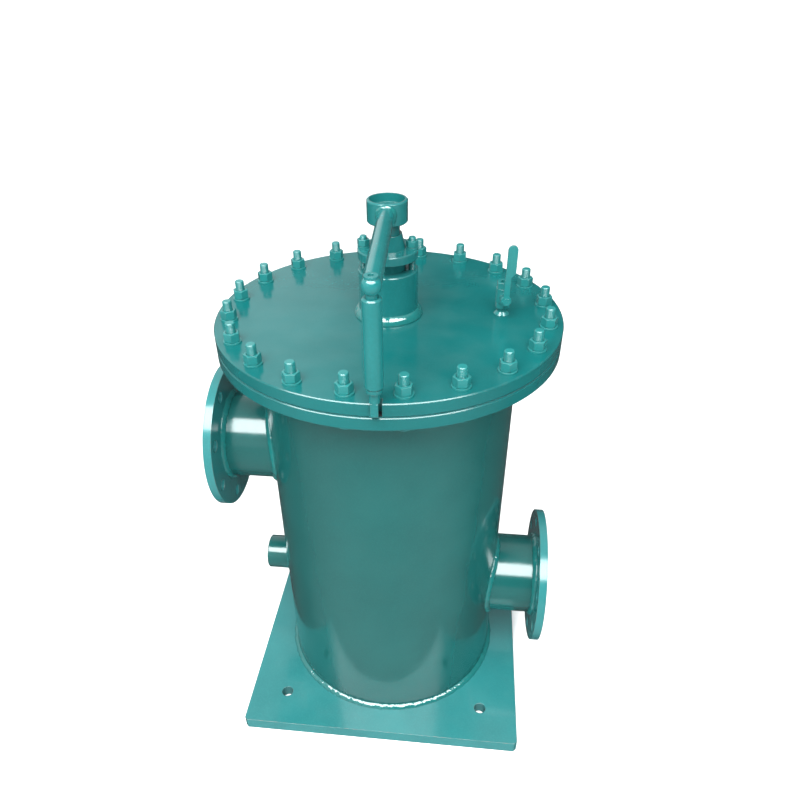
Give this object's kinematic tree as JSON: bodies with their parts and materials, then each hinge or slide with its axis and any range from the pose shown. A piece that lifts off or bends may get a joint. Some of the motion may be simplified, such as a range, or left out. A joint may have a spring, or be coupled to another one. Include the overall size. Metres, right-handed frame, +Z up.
{
  "type": "backwash water filter",
  "caption": "Upright welded water filter with a bolted cover, side nozzles, a hand crank that sweeps the screen, a drain socket and a vent valve.",
  "frame": {"origin": "middle of the underside of the base plate, on the vessel's axis", "axes": "+Z up along the vessel, +X towards the inlet nozzle, -Y towards the viewer"},
  "size_m": [0.66, 0.6082, 1.041],
  "materials": {
    "painted_steel": "glossy teal-green enamel sprayed over welded steel",
    "painted_fasteners": "the same enamel, sprayed over steel bolts and nuts",
    "stainless_steel": "machined and welded stainless steel",
    "bronze": "turned bearing bronze",
    "gasket_rubber": "matt black sheet rubber",
    "packing_cord": "greased square braid",
    "shoe_plastic": "milled white polyethylene",
    "bright_ball": "polished and plated"
  },
  "bodies": {
    "vessel": {"base_plate": "painted_steel", "vessel_shell": "painted_steel", "body_flange": "painted_steel", "base_weld": "painted_steel", "flange_weld": "painted_steel", "inlet_pipe": "painted_steel", "inlet_flange": "painted_steel", "inlet_weld": "painted_steel", "inlet_flange_weld": "painted_steel", "outlet_pipe": "painted_steel", "outlet_flange": "painted_steel", "outlet_weld": "painted_steel", "outlet_flange_weld": "painted_steel", "drain_socket": "painted_steel", "drain_weld": "painted_steel", "drain_riser": "stainless_steel", "foot_housing": "stainless_steel", "foot_bush": "bronze", "screen_seat": "stainless_steel", "screen_bottom_ring": "stainless_steel", "screen_top_ring": "stainless_steel", "screen_rods": "stainless_steel", "screen_wires": "stainless_steel", "cover_gasket": "gasket_rubber", "cover_plate": "painted_steel", "cover_bolts": "painted_fasteners", "cover_washers": "painted_fasteners", "cover_nuts": "painted_fasteners", "stuffing_box": "painted_steel", "stuffing_box_weld": "painted_steel", "shaft_bush": "bronze", "packing_rings": "packing_cord", "gland": "painted_steel", "gland_studs": "painted_fasteners", "gland_washers": "painted_fasteners", "gland_nuts": "painted_fasteners", "vent_nipple": "painted_steel", "vent_valve_body": "painted_steel", "vent_packing_nut": "painted_steel"},
    "crank": {"crank_shaft": "stainless_steel", "crank_boss": "painted_steel", "boss_key": "stainless_steel", "boss_set_screw": "painted_fasteners", "crank_arm": "painted_steel", "crank_arm_weld": "painted_steel", "grip_spindle": "painted_steel", "spindle_collar": "painted_steel", "rotor_head": "stainless_steel", "rotor_tube": "stainless_steel", "thrust_ring": "stainless_steel", "suction_pipes": "stainless_steel", "suction_shoes": "shoe_plastic"},
    "grip": {"grip_sleeve": "painted_steel"},
    "vent_handle": {"vent_ball": "bright_ball", "vent_stem": "painted_steel", "vent_lever": "painted_steel", "vent_lever_nut": "painted_fasteners"}
  },
  "joints": [
    {"name": "crank_turn", "type": "hinge", "parent": "vessel", "child": "crank", "pos_m": [0, 0, 1], "axis": [0, 0, 1], "continuous": true},
    {"name": "grip_spin", "type": "hinge", "parent": "crank", "child": "grip", "pos_m": [0.01298, -0.29722, 0.94], "axis": [0, 0, 1], "continuous": true},
    {"name": "vent_turn", "type": "hinge", "parent": "vessel", "child": "vent_handle", "pos_m": [0.194, 0.013, 0.883], "axis": [0.1392, -0.9903, 0], "range_deg": [0, 90]}
  ]
}
